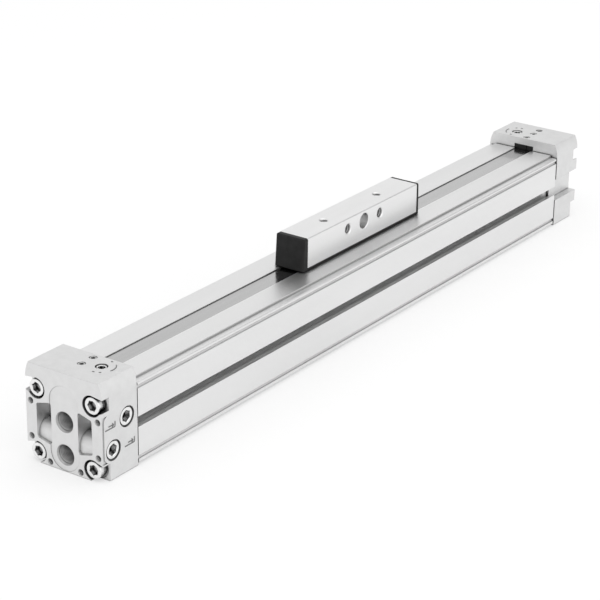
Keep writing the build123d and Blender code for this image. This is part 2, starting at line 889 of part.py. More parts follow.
os.makedirs("parts", exist_ok=True)
for name, shape in parts().items():
    export_step(shape, f"parts/{name}.step")
travel = inner_face - collar_length - piston_half
print("carriage travel either way from the middle until the piston meets a collar:", travel)
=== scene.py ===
import math
import bpy
import numpy as np
from mathutils import Matrix, Vector


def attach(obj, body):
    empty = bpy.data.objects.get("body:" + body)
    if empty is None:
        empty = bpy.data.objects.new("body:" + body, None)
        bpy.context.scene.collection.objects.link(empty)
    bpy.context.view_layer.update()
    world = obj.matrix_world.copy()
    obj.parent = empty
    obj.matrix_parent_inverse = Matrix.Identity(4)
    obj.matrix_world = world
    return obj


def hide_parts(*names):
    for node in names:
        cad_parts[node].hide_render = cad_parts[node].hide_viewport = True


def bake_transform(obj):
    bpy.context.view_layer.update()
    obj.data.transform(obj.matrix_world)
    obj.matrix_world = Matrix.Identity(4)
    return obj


# Looks of the rodless cylinder: finishes, screws, threads, bands, marks, studio and camera.
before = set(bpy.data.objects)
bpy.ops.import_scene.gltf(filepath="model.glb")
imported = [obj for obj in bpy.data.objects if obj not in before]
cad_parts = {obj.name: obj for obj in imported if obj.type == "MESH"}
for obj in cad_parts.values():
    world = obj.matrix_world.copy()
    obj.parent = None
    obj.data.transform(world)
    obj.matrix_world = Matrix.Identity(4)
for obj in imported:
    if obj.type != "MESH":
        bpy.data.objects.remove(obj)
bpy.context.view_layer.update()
print("frame loaded:", len(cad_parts), "nodes")

mm = 0.001
fullTurn = 2 * math.pi
halfLength = 215.0  # half the length over the caps, mm
capTop = 49.0
capHalfWidth = 22.5
carriageRest = 11.0  # the carriage's middle along X
blockHalfWidth = 8.75
blockTop = 60.0
capEnds = {"near": 1, "far": -1}  # which way local x runs inwards from each cap's outer face


# Node helpers: a value that is a socket is linked, anything else is set.
def addNode(tree, kind, inputs=None, **settings):
    node = tree.nodes.new(kind)
    for key, value in settings.items():
        setattr(node, key, value)
    for key, value in (inputs or {}).items():
        if isinstance(value, bpy.types.NodeSocket):
            tree.links.new(value, node.inputs[key])
        else:
            node.inputs[key].default_value = value
    return node


def newGroup(name, inputs, outputs):
    tree = bpy.data.node_groups.new(name, "ShaderNodeTree")
    for label, value in inputs.items():
        socket = tree.interface.new_socket(label, in_out="INPUT", socket_type="NodeSocketFloat")
        socket.default_value = value
    for label, kind in outputs.items():
        tree.interface.new_socket(label, in_out="OUTPUT", socket_type="NodeSocket" + kind)
    return tree, tree.nodes.new("NodeGroupInput"), tree.nodes.new("NodeGroupOutput")


def mathNode(tree, operation, first, second=0.0):
    return addNode(tree, "ShaderNodeMath", {0: first, 1: second}, operation=operation).outputs[0]


def vectorNode(tree, operation, first, second):
    node = addNode(tree, "ShaderNodeVectorMath", {0: first, 1: second}, operation=operation)
    return node.outputs["Value" if operation == "DOT_PRODUCT" else "Vector"]


def spread(tree, value, low, high, toLow, toHigh):  # a range carried onto another, clamped
    return addNode(tree, "ShaderNodeMapRange", {"Value": value, "From Min": low, "From Max": high,
                                                "To Min": toLow, "To Max": toHigh}).outputs[0]


def mixTones(tree, share, first, second):  # tones are sockets or (r, g, b)
    first, second = [tone if isinstance(tone, bpy.types.NodeSocket) else (*tone, 1)
                     for tone in (first, second)]
    return addNode(tree, "ShaderNodeMixRGB", {"Fac": share, "Color1": first,
                                              "Color2": second}).outputs[0]


# How the shared effects read a surface. Noise counts within its range. An edge is where the
# rounded normal has turned from the flat one: cosines where its mask starts and is full. Painted
# shade in a groove or a hole starts and is full at these shares of closed sky, and a wall looks
# along Y between these shares of its normal.
effects = {"noiseRoughness": 0.55, "noiseRange": (0.3, 0.7), "edgeTurn": (0.98, 0.85),
           "groove": (0.12, 0.36), "hole": (0.52, 0.88), "sideways": (0.6, 0.9),
           "edgeSamples": 6, "skySamples": 8}


# Noise in millimetres of the object's own coordinates: Size is the width of a feature,
# Stretch how many times longer it is along X.
def makeGrainGroup():
    tree, given, result = newGroup("grain", {"Size": 0.2, "Stretch": 1.0, "Detail": 2.0},
                                   {"Shade": "Float"})
    place = addNode(tree, "ShaderNodeTexCoord").outputs["Object"]
    across = mathNode(tree, "DIVIDE", 1 / mm, given.outputs["Size"])
    lengthwise = mathNode(tree, "DIVIDE", across, given.outputs["Stretch"])
    scale = addNode(tree, "ShaderNodeCombineXYZ", {"X": lengthwise, "Y": across, "Z": across}).outputs[0]
    noise = addNode(tree, "ShaderNodeTexNoise",
                    {"Vector": vectorNode(tree, "MULTIPLY", place, scale), "Scale": 1.0,
                     "Detail": given.outputs["Detail"], "Roughness": effects["noiseRoughness"]})
    tree.links.new(noise.outputs[0], result.inputs["Shade"])
    return tree


# The normal rounded over sharp edges, and a mask that is 1 on them.
def makeEdgeGroup():
    tree, given, result = newGroup("softEdge", {"Radius": 0.2}, {"Normal": "Vector", "Edge": "Float"})
    radius = mathNode(tree, "MULTIPLY", given.outputs["Radius"], mm)
    rounded = addNode(tree, "ShaderNodeBevel", {"Radius": radius},
                      samples=effects["edgeSamples"]).outputs[0]
    flat = addNode(tree, "ShaderNodeNewGeometry").outputs["True Normal"]
    turn = vectorNode(tree, "DOT_PRODUCT", rounded, flat)
    tree.links.new(rounded, result.inputs["Normal"])
    tree.links.new(spread(tree, turn, *effects["edgeTurn"], 0.0, 1.0), result.inputs["Edge"])
    return tree


# A mask of painted shade that rises with closed sky in narrow grooves and corners to Groove, and
# deep inside holes and slots to Hole, of which walls that look along Y keep the share Wall, so they
# are painted lighter: the reaches are how far walls count, in mm.
def makeRecessShadeGroup():
    tree, given, result = newGroup("recessShade", {"Groove Reach": 1.5, "Groove": 0.7, "Hole Reach": 8.0,
                                              "Hole": 0.95, "Wall": 1.0}, {"Depth": "Float"})
    masks = []
    for label, limits in (("Groove", effects["groove"]), ("Hole", effects["hole"])):
        reach = mathNode(tree, "MULTIPLY", given.outputs[label + " Reach"], mm)
        sky = addNode(tree, "ShaderNodeAmbientOcclusion", {"Distance": reach},
                      samples=effects["skySamples"])
        closed = mathNode(tree, "SUBTRACT", 1.0, sky.outputs["AO"])
        masks.append(spread(tree, closed, *limits, 0.0, given.outputs[label]))
    flat = addNode(tree, "ShaderNodeNewGeometry").outputs["True Normal"]
    sideways = mathNode(tree, "ABSOLUTE", vectorNode(tree, "DOT_PRODUCT", flat, (0, 1, 0)))
    # walls that look along Y keep less of the painted shade, so they are painted lighter as if lit
    kept = spread(tree, sideways, *effects["sideways"], 1.0, given.outputs["Wall"])
    hole = mathNode(tree, "MULTIPLY", masks[1], kept)
    tree.links.new(mathNode(tree, "MAXIMUM", masks[0], hole), result.inputs["Depth"])
    return tree


grainGroup = makeGrainGroup()
edgeGroup = makeEdgeGroup()
recessShadeGroup = makeRecessShadeGroup()


def useGroup(tree, group, inputs):
    node = addNode(tree, "ShaderNodeGroup", node_tree=group)
    for key, value in inputs.items():
        node.inputs[key].default_value = value
    return node


# A finish: two tones mixed by cloudy noise, roughness and bump from a fine grain, a painted
# highlight in its own tone on rounded edges, and painted shade in recesses. "grain" and "cloud" are
# (size in mm, stretch along X, detail), "bump" and "edge" are in mm, and the recess settings are
# (reach and share of painted shade in grooves, reach and share in holes, tone of the painted shade).
# "wall" is the share of a hole's painted shade that walls which look along Y keep, and "gloss" the
# specular level, where they aren't the usual 1 and 0.5.
def makeFinish(name, look):
    made = bpy.data.materials.new(name)
    made.use_nodes = True
    tree = made.node_tree
    shader = tree.nodes["Principled BSDF"]
    noises = [dict(zip(("Size", "Stretch", "Detail"), look[kind])) for kind in ("grain", "cloud")]
    grain, cloud = [useGroup(tree, grainGroup, noise).outputs[0] for noise in noises]
    edge = useGroup(tree, edgeGroup, {"Radius": look["edge"]})
    depths = dict(zip(("Groove Reach", "Groove", "Hole Reach", "Hole"), look["recessShade"]))
    depths["Wall"] = look.get("wall", 1.0)
    recessShade = useGroup(tree, recessShadeGroup, depths).outputs[0]
    plain = mixTones(tree, spread(tree, cloud, *effects["noiseRange"], 0.0, 1.0), look["dark"],
                     look["pale"])
    # painted highlight: the edge tone laid over rounded edges, lighter on most finishes
    edgeHighlighted = mixTones(tree, mathNode(tree, "MULTIPLY", edge.outputs["Edge"], look["edgeShare"]), plain,
                    look["edgeTone"])
    # painted shade: the recess tone mixed in where the sky is closed
    shaded = mixTones(tree, recessShade, edgeHighlighted, look["recessShade"][-1])
    tree.links.new(shaded, shader.inputs["Base Color"])
    roughness = spread(tree, grain, *effects["noiseRange"], *look["rough"])
    tree.links.new(roughness, shader.inputs["Roughness"])
    bump = addNode(tree, "ShaderNodeBump", {"Height": grain, "Distance": look["bump"] * mm,
                                            "Strength": 1.0, "Normal": edge.outputs["Normal"]})
    tree.links.new(bump.outputs[0], shader.inputs["Normal"])
    shader.inputs["Metallic"].default_value = look["metallic"]
    shader.inputs["Specular IOR Level"].default_value = look.get("gloss", 0.5)
    return made


def grey(level):
    return (level, level, level)


# In each look the last recess value is the tone of painted shade, and the edge tone is a painted
# highlight on rounded edges, darker on the cast marks
looks = {
    "barrelAnodised": {"pale": grey(0.81), "dark": grey(0.78), "metallic": 1.0, "rough": (0.32, 0.44),
                       "grain": (0.09, 60, 2), "cloud": (14, 8, 2), "bump": 0.004,
                       "edge": 0.18, "edgeShare": 0.5, "edgeTone": grey(0.92),
                       "recessShade": (1.7, 0.45, 9.0, 0.97, grey(0.08)), "wall": 0.38},
    "blockMachined": {"pale": grey(0.85), "dark": grey(0.82), "metallic": 1.0, "rough": (0.27, 0.4),
                      "grain": (0.06, 30, 3), "cloud": (9, 5, 2), "bump": 0.003,
                      "edge": 0.2, "edgeShare": 0.7, "edgeTone": grey(0.94),
                      "recessShade": (1.2, 0.7, 7.0, 0.95, grey(0.09))},
    "castBlasted": {"pale": grey(0.76), "dark": grey(0.72), "metallic": 1.0, "rough": (0.42, 0.56),
                    "grain": (0.14, 1, 3), "cloud": (4, 1, 3), "bump": 0.02,
                    "edge": 0.25, "edgeShare": 0.3, "edgeTone": grey(0.84),
                    "recessShade": (1.1, 0.4, 6.5, 0.95, grey(0.06))},
    "threadCut": {"pale": grey(0.46), "dark": grey(0.38), "metallic": 1.0, "rough": (0.3, 0.42),
                  "grain": (0.1, 1, 2), "cloud": (1, 1, 2), "bump": 0.003,
                  "edge": 0.08, "edgeShare": 0.6, "edgeTone": grey(0.6),
                  "recessShade": (0.6, 0.6, 9.0, 0.9, grey(0.05))},
    # the marks' dark tone is painted shade along the raised marks, not the metal's own colour
    "castMarkShade": {"pale": grey(0.30), "dark": grey(0.24), "metallic": 1.0, "rough": (0.45, 0.6),
                 "grain": (0.14, 1, 3), "cloud": (1, 1, 3), "bump": 0.02,
                 "edge": 0.1, "edgeShare": 0.3, "edgeTone": grey(0.2),
                 "recessShade": (1.0, 0.5, 3.0, 0.9, grey(0.06))},
    "turnedAlloy": {"pale": grey(0.74), "dark": grey(0.70), "metallic": 1.0, "rough": (0.25, 0.4),
                    "grain": (0.1, 1, 2), "cloud": (5, 1, 2), "bump": 0.003,
                    "edge": 0.15, "edgeShare": 0.5, "edgeTone": grey(0.85),
                    "recessShade": (1.5, 0.6, 6.0, 0.9, grey(0.08))},
    "bandRolled": {"pale": grey(0.53), "dark": grey(0.49), "metallic": 1.0, "rough": (0.12, 0.22),
                   "grain": (0.05, 200, 2), "cloud": (3, 40, 2), "bump": 0.0015,
                   "edge": 0.05, "edgeShare": 0.4, "edgeTone": grey(0.70),
                   "recessShade": (1.0, 0.4, 6.0, 0.6, grey(0.10))},
    "zincBright": {"pale": grey(0.88), "dark": grey(0.82), "metallic": 1.0, "rough": (0.16, 0.28),
                   "grain": (0.12, 1, 2), "cloud": (1.5, 1, 2), "bump": 0.003,
                   "edge": 0.12, "edgeShare": 0.5, "edgeTone": grey(0.95),
                   "recessShade": (1.6, 0.97, 5.0, 0.99, grey(0.02))},
    "steelGrey": {"pale": grey(0.62), "dark": grey(0.55), "metallic": 1.0, "rough": (0.2, 0.32),
                  "grain": (0.12, 1, 2), "cloud": (1.5, 1, 2), "bump": 0.003,
                  "edge": 0.1, "edgeShare": 0.5, "edgeTone": grey(0.8),
                  "recessShade": (0.9, 0.95, 3.0, 0.98, grey(0.02))},
    "plasticBlack": {"pale": grey(0.020), "dark": grey(0.014), "metallic": 0.0, "rough": (0.42, 0.55),
                     "grain": (0.1, 1, 3), "cloud": (3, 1, 2), "bump": 0.008, "gloss": 0.16,
                     "edge": 0.3, "edgeShare": 0.8, "edgeTone": grey(0.05),
                     "recessShade": (1.5, 0.9, 5.0, 0.95, grey(0.002))},
    "rubberBlack": {"pale": grey(0.02), "dark": grey(0.012), "metallic": 0.0, "rough": (0.6, 0.75),
                    "grain": (0.12, 1, 3), "cloud": (2, 1, 2), "bump": 0.008, "gloss": 0.2,
                    "edge": 0.1, "edgeShare": 0.2, "edgeTone": grey(0.04),
                    "recessShade": (0.8, 0.9, 3.0, 0.95, grey(0.003))},
    "ferriteDark": {"pale": grey(0.11), "dark": grey(0.07), "metallic": 0.3, "rough": (0.5, 0.65),
                    "grain": (0.15, 1, 3), "cloud": (2, 1, 2), "bump": 0.01,
                    "edge": 0.1, "edgeShare": 0.3, "edgeTone": grey(0.15),
                    "recessShade": (1.0, 0.5, 4.0, 0.8, grey(0.02))},
}
finishes = {name: makeFinish(name, look) for name, look in looks.items()}
print("finishes made:", len(finishes))

# Which finish stands for each of the record's material slots
slotFinishes = {"barrel_anodised": "barrelAnodised", "block_anodised": "blockMachined",
                "cap_casting": "castBlasted", "turned_alloy": "turnedAlloy", "band_steel": "bandRolled",
                "bright_steel": "zincBright", "dark_steel": "steelGrey",
                "black_plastic": "plasticBlack", "black_rubber": "rubberBlack",
                "magnet_ferrite": "ferriteDark"}


def dressNodes():
    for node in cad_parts.values():
        label = node.material_slots[0].material.name.split(".")[0]
        node.material_slots[0].material = finishes[slotFinishes[label]]


dressNodes()


# A shape is its points (an array, in mm) and its faces (lists of point numbers).
def gridQuads(rows, count, closedRows=False):  # a grid of rows, closed round its turn
    row = np.arange(rows if closedRows else rows - 1)[:, None]
    column = np.arange(count)[None, :]
    nextRow, nextColumn = (row + 1) % rows, (column + 1) % count
    corners = [row * count + column, row * count + nextColumn, nextRow * count + nextColumn,
               nextRow * count + column]
    return np.stack(corners, axis=-1).reshape(-1, 4).tolist()


def facingOut(points, faces):  # a closed shape's faces, turned over where its volume is negative
    centred = points - points.mean(axis=0)
    volume = 0.0
    for size in {len(face) for face in faces}:
        group = np.array([face for face in faces if len(face) == size])
        for k in range(1, size - 1):
            a, b, c = centred[group[:, 0]], centred[group[:, k]], centred[group[:, k + 1]]
            volume += float((a * np.cross(b, c)).sum())
    return [face[::-1] for face in faces] if volume < 0 else faces


knurlCut = 0.04  # the share by which every other point of a knurled ring is cut in


# A surface of revolution about Z. Profile rows are (radius, height, kind): kind 1 is a hexagon,
# whose edge lies at r / cos(angle from a flat's middle), and -1 is knurled.
def turnedShape(profile, count=72):
    rows = np.array(profile, float)
    turn = np.arange(count) / count * fullTurn
    hexagon = 1 / np.cos(turn % (math.pi / 3) - math.pi / 6)
    knurl = 1 - knurlCut * (np.arange(count) % 2)
    kind = rows[:, 2:]
    radius = rows[:, :1] * np.where(kind > 0, hexagon, np.where(kind < 0, knurl, 1))
    height = np.broadcast_to(rows[:, 1:2], radius.shape)
    rings = np.stack([radius * np.cos(turn), radius * np.sin(turn), height], axis=-1)
    rings = rings[1:-1].reshape(-1, 3)
    points = np.vstack([rings, [[0, 0, rows[0, 1]], [0, 0, rows[-1, 1]]]])
    around = np.arange(count)
    beside = (around + 1) % count
    last = len(rings) - count
    caps = np.vstack([np.column_stack([np.full(count, len(rings)), beside, around]),
                      np.column_stack([np.full(count, len(rings) + 1), last + around, last + beside])])
    return points, facingOut(points, gridQuads(len(rows) - 2, count) + caps.tolist())


# A thread's form: rows to a pitch, the shares of a pitch that are flat root and flank, how far
# the root stands in from the hole's wall, how far the sleeve's back lies in the metal and below
# its start and its mouth, in mm, and from how many degrees its edges stay sharp
threadForm = {"rows": 8, "root": 0.12, "flank": 0.76, "stand": 0.06, "back": 0.2, "startTuck": 0.1,
              "mouthTuck": 0.12, "sharp": 60}


# The thread of a hole down from z = 0: a sleeve whose inner wall stands in from the hole's wall
# by stand + depth * wave(z / pitch - turn), the depth fading over one pitch at both ends, and
# whose outer wall lies inside the metal. "mouth" is the (radius, depth) where a chamfer ahead of
# it begins.
def threadShape(wall, pitch, depth, start, end, count, mouth=None):
    form = threadForm
    z = np.linspace(start, end, int((end - start) / pitch * form["rows"]))[:, None]
    turn = (np.arange(count) / count)[None, :]
    rise = np.abs(((z / pitch - turn) % 1) * 2 - 1)
    wave = np.clip((rise - form["root"]) / form["flank"], 0, 1)
    fade = np.clip(np.minimum(z - start, end - z) / pitch, 0, 1)
    lead = [mouth] if mouth else []
    back = wall + form["back"]
    behind = [(back, end), (back, start + form["startTuck"])]
    behind += [(r + form["back"], d + form["mouthTuck"]) for r, d in lead]
    inner = wall - form["stand"] - depth * wave * fade
    radius = np.vstack([np.full((1, count), r) for r, d in lead] + [inner]
                       + [np.full((1, count), r) for r, d in behind])
    depths = np.vstack([[[d]] for r, d in lead] + [z] + [[[d]] for r, d in behind])
    points = np.stack([radius * np.cos(turn * fullTurn), radius * np.sin(turn * fullTurn),
                       np.broadcast_to(-depths, radius.shape)], axis=-1).reshape(-1, 3)
    return points, facingOut(points, gridQuads(len(radius), count, closedRows=True))


def prismShape(outline, low, high):  # a flat outline of (x, y) points between two heights
    flat = np.array(outline, float)
    count = len(flat)
    points = np.vstack([np.column_stack([flat, np.full(count, z)]) for z in (low, high)])
    ends = [list(range(count)), list(range(count, 2 * count))[::-1]]
    return points, facingOut(points, gridQuads(2, count) + ends)


def strokeOutline(line, width):  # a strip of even width along (x, y) points
    line = np.array(line, float)
    along = np.gradient(line, axis=0)
    along /= np.linalg.norm(along, axis=1, keepdims=True)
    side = np.column_stack([along[:, 1], -along[:, 0]]) * width / 2
    return np.vstack([line + side, (line - side)[::-1]])


# A shape turned about its own Z axis, which then points along "axis" from "at"
def placed(shape, at, axis, turn=0.0):
    z = np.array(axis, float)
    alongX = abs(z[0]) > 0.9
    x = np.array((0, 1.0, 0) if alongX else (1.0, 0, 0))
    y = np.cross(z, x)
    c, s = math.cos(turn), math.sin(turn)
    return shape[0] @ np.array([c * x + s * y, c * y - s * x, z]) + np.array(at, float), shape[1]


# One object from several shapes: its slot in the record, the body it rides on and the nodes it
# stands for. Edges sharper than "sharp" degrees stay sharp.
def makePiece(name, shapes, slot, body=None, replaces=(), sharp=35, finish=None):
    points, faces, start = [], [], 0
    for some, their in shapes:
        points.append(some)
        faces += [[start + k for k in face] for face in their]
        start += len(some)
    mesh = bpy.data.meshes.new(name)
    mesh.from_pydata((np.vstack(points) * mm).tolist(), [], faces)
    mesh.shade_smooth()
    mesh.set_sharp_from_angle(angle=math.radians(sharp))
    mesh.materials.append(finishes[finish or slotFinishes[slot]])
    piece = bpy.data.objects.new(name, mesh)
    bpy.context.scene.collection.objects.link(piece)
    if replaces:
        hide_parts(*replaces)
    if body:
        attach(piece, body)
    return piece


# A place on a cap, whose local x runs inwards from its outer face; the far cap is turned half round
def onCap(end, x, y, z):
    return (capEnds[end] * (x - halfLength), capEnds[end] * y, z)


# Screws and plugs: profiles (radius, height, kind) from the socket's floor over the head to the
# tip. "sunk" is the head's depth below the cap's face and "top" its height, in mm, "around" the
# points to a ring where it isn't the usual number, and turns are in radians. Places are (y, z) of
# cap screws, (x, z) of plugs, x of clamp screws and (x, y) of the cushion screw.
capScrew = {
    "profile": [(0, -3.2, 0), (2.29, -2.8, 1), (2.3, -0.3, 1), (2.75, 0, 0), (3.55, 0, 0),
                (3.85, -0.07, 0), (4.1, -0.25, 0), (4.2, -0.55, 0), (4.25, -0.8, -1),
                (4.25, -4.7, -1), (4.05, -5.0, 0), (2.5, -5.0, 0), (2.5, -38.0, 0), (2.1, -38.5, 0),
                (0, -38.5, 0)],
    "sunk": 0.3, "places": [(16.2, 5.5), (16.2, 37.1), (-16.2, 5.5), (-16.2, 37.1)],
    "turns": (0.2, 0.75, 0.4, 0.05)}
sidePlug = {
    "profile": [(0, -3.8, 0), (2.54, -3.5, 1), (2.55, -0.25, 1), (3.0, 0, 0), (3.9, 0, 0),
                (4.2, -0.12, 0), (4.37, -0.4, 0), (4.37, -7.6, 0), (4.0, -8.0, 0), (0, -8.0, 0)],
    "sunk": 0.3, "places": [(7.1, 14.8), (16.8, 27.7)], "turns": (0.3, 0.55)}
clampScrew = {
    "profile": [(0, -2.1, 0), (0.99, -1.9, 1), (1.0, -0.12, 1), (1.15, 0, 0), (1.6, 0, 0),
                (1.93, -0.25, 0), (1.93, -3.5, 0), (1.65, -3.8, 0), (0, -3.8, 0)],
    "around": 48, "top": 48.7, "places": (13.0, 21.0), "turns": (0.1, 0.6)}
cushionScrew = {
    "profile": [(0, -3.6, 0), (1.69, -3.4, 1), (1.7, -0.15, 1), (2.0, 0, 0), (2.3, 0, 0),
                (2.55, -0.2, 0), (2.6, -0.4, 0), (2.6, -9.1, 0), (2.3, -9.4, 0), (0.9, -9.4, 0),
                (0.3, -12.4, 0), (0, -12.4, 0)],
    "top": 48.6, "place": (15.7, -9.4), "turn": 0.35}


def makeScrews():
    head = turnedShape(capScrew["profile"])
    plug = turnedShape(sidePlug["profile"])
    grub = turnedShape(clampScrew["profile"], clampScrew["around"])
    valve = turnedShape(cushionScrew["profile"])
    for end, way in capEnds.items():
        shapes = [placed(head, onCap(end, capScrew["sunk"], y, z), (-way, 0, 0), turn)
                  for (y, z), turn in zip(capScrew["places"], capScrew["turns"])]
        makePiece(end + "_cap_screw_heads", shapes, "bright_steel", "cylinder", [end + "_cap_screws"])
        shapes = [placed(grub, onCap(end, x, 0, clampScrew["top"]), (0, 0, 1), turn)
                  for x, turn in zip(clampScrew["places"], clampScrew["turns"])]
        makePiece(end + "_clamp_grub_screws", shapes, "dark_steel", "cylinder", [end + "_clamp_screws"])
        at = onCap(end, *cushionScrew["place"], cushionScrew["top"])
        makePiece(end + "_cushion_valve", [placed(valve, at, (0, 0, 1), cushionScrew["turn"])],
                  "bright_steel", end + "_adjuster", [end + "_cushion_screw"])
    shapes = [placed(plug, (x - halfLength, sidePlug["sunk"] - capHalfWidth, z), (0, -1, 0), turn)
              for (x, z), turn in zip(sidePlug["places"], sidePlug["turns"])]
    makePiece("near_hex_plugs", shapes, "bright_steel", "cylinder", ["near_side_plugs"])


# Threads of the open holes: radius of the hole, pitch, depth, and start and end below the surface,
# in mm, and the points to a turn
threads = {
    "port": {"wall": 4.4, "pitch": 0.907, "depth": 0.42, "start": 1.1, "end": 9.4, "count": 72,
             "mouth": (5.17, 0.31)},
    "face": {"wall": 1.25, "pitch": 0.5, "depth": 0.22, "start": 0.42, "end": 2.7, "count": 30,
             "mouth": (1.62, 0.02)},
    "blockTop": {"wall": 2.1, "pitch": 0.8, "depth": 0.35, "start": 0.52, "end": 8.8, "count": 40},
    "blockSide": {"wall": 2.5, "pitch": 1.0, "depth": 0.42, "start": 0.52, "end": 16.98, "count": 48},
    "spare": {"wall": 1.95, "pitch": 0.7, "depth": 0.3, "start": 0.1, "end": 2.9, "count": 40},
}
portHeights = (8.3, 24.6)
faceHoles = {"near": [(-19.6, 12.5), (-19.6, 30.1), (19.6, 12.5), (19.6, 30.1), (-9, 2.4), (9, 2.4)],
             "far": [(-19.6, 12.5), (-19.6, 30.1), (19.6, 12.5), (-9, 2.4), (9, 2.4)]}
blockHoles = {"top": 24.3, "side": 14.7, "sideHeight": 54.3}  # top and side: from its middle
spareHole = 6.3  # how far inwards from its outer face the far cap's third top hole lies


def makeThreads():
    made = {name: threadShape(**thread) for name, thread in threads.items()}
    for end, way in capEnds.items():
        shapes = [placed(made["port"], onCap(end, 0, 0, z), (-way, 0, 0)) for z in portHeights]
        shapes += [placed(made["face"], onCap(end, 0, y, z), (-way, 0, 0)) for y, z in faceHoles[end]]
        if end == "far":
            shapes.append(placed(made["spare"], onCap(end, spareHole, 0, capTop), (0, 0, 1)))
        makePiece(end + "_cap_threads", shapes, "cap_casting", "cylinder",
                  sharp=threadForm["sharp"], finish="threadCut")
    shapes = []
    for way in (-1, 1):
        shapes.append(placed(made["blockTop"], (carriageRest + way * blockHoles["top"], 0, blockTop),
                             (0, 0, 1)))
        shapes.append(placed(made["blockSide"], (carriageRest + way * blockHoles["side"],
                                                 -blockHalfWidth, blockHoles["sideHeight"]), (0, -1, 0)))
    makePiece("carriage_threads", shapes, "block_anodised", "carriage", sharp=threadForm["sharp"],
              finish="threadCut")


# Bands, each in two halves that meet at the carriage's middle. "line" is the underside's
# (x, z) from there outwards, "end" the tip's distance from the cylinder's middle.
bands = {
    "cover_band": {"line": [(0, 45.7), (30, 45.7), (46, 41.65)], "end": 203.0, "width": 10.2,
                   "thickness": 0.3, "edge": 0.06},
    "sealing_band": {"line": [(0, 28.7), (30, 28.7), (42, 33.602)], "end": 195.0, "width": 7.4,
                     "thickness": 0.25, "edge": 0.05},
}
bandBend = {"radius": 12.0, "steps": 8, "past": 3.5}


def bentLine(line):  # the line's points with its inner corners rounded to arcs
    corners = [np.array(point, float) for point in line]
    points = [corners[0]]
    share = np.linspace(0, 1, bandBend["steps"])[:, None]
    for before, corner, after in zip(corners, corners[1:], corners[2:]):
        back = (before - corner) / np.linalg.norm(before - corner)
        onward = (after - corner) / np.linalg.norm(after - corner)
        half = math.acos(float(back @ onward)) / 2
        reach = bandBend["radius"] / math.tan(half)
        middle = (back + onward) / np.linalg.norm(back + onward)
        centre = corner + middle * bandBend["radius"] / math.sin(half)
        chord = (corner + back * reach) * (1 - share) + (corner + onward * reach) * share - centre
        chord /= np.linalg.norm(chord, axis=1, keepdims=True)
        points += list(centre + chord * bandBend["radius"])
    return np.array(points + [corners[-1]])


# Half a band is its section (y, z) carried along the bent line (x, z)
def makeBands():
    for name, band in bands.items():
        half, edge, tall = band["width"] / 2, band["edge"], band["thickness"]
        section = np.array([(-half, edge), (-half, tall - edge), (-half + edge, tall),
                            (half - edge, tall), (half, tall - edge), (half, edge),
                            (half - edge, 0), (-half + edge, 0)])
        count = len(section)
        foot = band["line"][-1]
        for end, way in (("near", -1), ("far", 1)):
            path = bentLine(band["line"] + [(band["end"] - way * carriageRest, foot[1])])
            x = np.broadcast_to(carriageRest + way * path[:, :1], (len(path), count))
            y = np.broadcast_to(section[:, 0], x.shape)
            points = np.stack([x, y, path[:, 1:] + section[:, 1]], axis=-1).reshape(-1, 3)
            last = len(points) - count
            closing = [list(range(count)), list(range(last, last + count))[::-1]]
            faces = facingOut(points, gridQuads(len(path), count) + closing)
            piece = makePiece(f"{end}_half_{name}", [(points, faces)], "band_steel", replaces=[name])
            if end == "near":
                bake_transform(piece)
            else:
                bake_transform(piece)


# Cast marks, raised a little and given a dark tone that is painted shade: arrows that run to a bar
# beside the cross ports, and a turning line with strokes round the cushion screw
marks = {"height": 0.16, "sunk": 0.1, "width": 0.42,
         "side": {"places": [(1.9, 26.0), (15.0, 13.3)], "length": 6.6, "bar": 2.6, "lift": 0.3,
                  "arrow": 3.4, "barb": 0.9, "gap": 1},
         "top": {"radius": 6.6, "arc": (-103, -42), "steps": 14, "strokes": (-5, 186, 214),
                 "long": 1.1}}


def sideMark(x, z):  # the lines of one mark: its foot, its bar, and an arrow that runs to the bar
    side = marks["side"]
    end = x + side["length"]
    tip = end - side["gap"]
    tall = z + side["bar"] / 2
    barb = side["barb"]
    return [[(x, z), (end, z)], [(end, z + side["lift"]), (end, z + side["bar"])],
            [(tip - side["arrow"], tall), (tip, tall)], [(tip - barb, tall + barb), (tip, tall)],
            [(tip - barb, tall - barb), (tip, tall)]]


def topMark():  # an arc about the origin, and short strokes along its circle
    top = marks["top"]
    turn = np.radians(np.linspace(*top["arc"], top["steps"]))
    lines = [top["radius"] * np.column_stack([np.cos(turn), np.sin(turn)])]
    for angle in np.radians(top["strokes"]):
        out = np.array((math.cos(angle), math.sin(angle)))
        across = np.array((-out[1], out[0])) * top["long"] / 2
        lines.append([out * top["radius"] - across, out * top["radius"] + across])
    return lines


def makeMarks():
    low, high, width = -marks["sunk"], marks["height"], marks["width"]
    shapes = []
    for x, z in marks["side"]["places"]:
        for line in sideMark(x, z):
            # the outline's x and y become the frame's X and Z, its height points to -Y
            flat, faces = prismShape(strokeOutline(line, width), low, high)
            points = np.column_stack([flat[:, 0] - halfLength, -capHalfWidth - flat[:, 2], flat[:, 1]])
            shapes.append((points, facingOut(points, faces)))
    makePiece("near_side_marks", shapes, "cap_casting", "cylinder", finish="castMarkShade")
    for end, way in capEnds.items():
        outlines = [strokeOutline(line, width) + cushionScrew["place"] for line in topMark()]
        shapes = [prismShape(way * (outline - (halfLength, 0)), capTop + low, capTop + high)
                  for outline in outlines]
        makePiece(end + "_top_marks", shapes, "cap_casting", "cylinder", finish="castMarkShade")


makeScrews()
makeThreads()
makeBands()
makeMarks()
print("pieces made")


